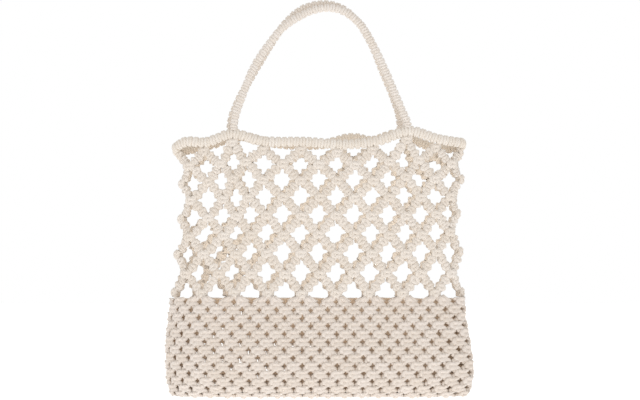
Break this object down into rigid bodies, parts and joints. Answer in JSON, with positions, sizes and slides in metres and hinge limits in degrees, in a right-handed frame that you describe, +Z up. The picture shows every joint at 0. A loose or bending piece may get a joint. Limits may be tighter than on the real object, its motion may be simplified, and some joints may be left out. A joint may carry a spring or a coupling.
{
  "type": "macrame beach bag",
  "caption": "Open tote of knotted cotton cord: a diamond net above a dense square-knot base, with a wrapped rim and rope handles.",
  "frame": {"origin": "the point under the crown of the handles where a hand, hook or peg carries the bag", "axes": "+Z up, from the bottom of the bag to its handles; the front face looks along -Y; +X is to the right as seen from the front"},
  "size_m": [0.386, 0.069, 0.4956],
  "materials": {
    "handle_cord": "matte twisted cotton cord",
    "rim_cord": "matte twisted cotton cord",
    "net_cord": "matte twisted cotton cord",
    "base_cord": "matte twisted cotton cord"
  },
  "bodies": {
    "root": {"handle_front": "handle_cord", "handle_back": "handle_cord", "rim": "rim_cord", "net_front": "net_cord", "net_back": "net_cord", "base": "base_cord"}
  },
  "joints": []
}
